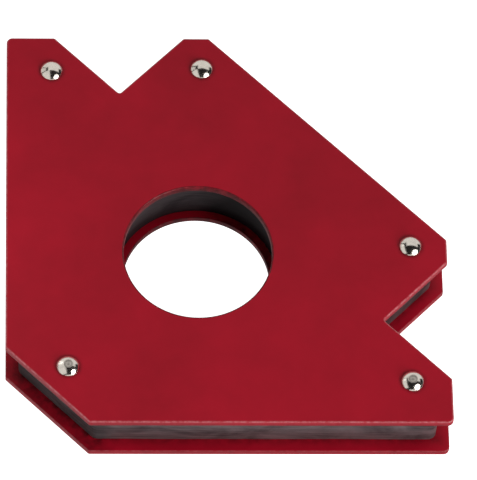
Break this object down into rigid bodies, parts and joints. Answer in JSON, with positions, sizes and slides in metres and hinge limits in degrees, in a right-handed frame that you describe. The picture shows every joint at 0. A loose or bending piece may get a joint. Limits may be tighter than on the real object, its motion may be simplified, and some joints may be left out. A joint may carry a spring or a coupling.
{
  "type": "magnetic welding holder",
  "caption": "Arrow-shaped magnetic welding holder: two riveted steel plates over a ferrite core, holding steel work at 45, 90 and 135 degrees.",
  "frame": {"origin": "axis of the large hole, at mid-thickness of the stack", "axes": "+Z out of the front plate along the hole's axis, +X along the bottom leg to the right foot, +Y along the left leg to the left foot"},
  "size_m": [0.11, 0.11, 0.0208],
  "materials": {
    "red_powder_coat": "satin powder coat, red",
    "blackened_steel": "dark, brushed, faint streaks",
    "ferrite": "matt, sintered",
    "sleeve_steel": "drawn tube, dull",
    "plated_rivet": "bright nickel plate"
  },
  "bodies": {
    "root": {"front_plate": "red_powder_coat", "rear_plate": "red_powder_coat", "edge_band": "blackened_steel", "hole_liner": "blackened_steel", "magnet_left_lower": "ferrite", "magnet_left_upper": "ferrite", "magnet_bottom_inner": "ferrite", "magnet_bottom_outer": "ferrite", "magnet_top": "ferrite", "magnet_right": "ferrite", "magnet_slant_upper": "ferrite", "magnet_slant_lower": "ferrite", "sleeve_left_foot": "sleeve_steel", "sleeve_top_tip": "sleeve_steel", "sleeve_right_tip": "sleeve_steel", "sleeve_right_foot": "sleeve_steel", "sleeve_corner": "sleeve_steel", "rivet_left_foot": "plated_rivet", "rivet_top_tip": "plated_rivet", "rivet_right_tip": "plated_rivet", "rivet_right_foot": "plated_rivet", "rivet_corner": "plated_rivet"}
  },
  "joints": []
}
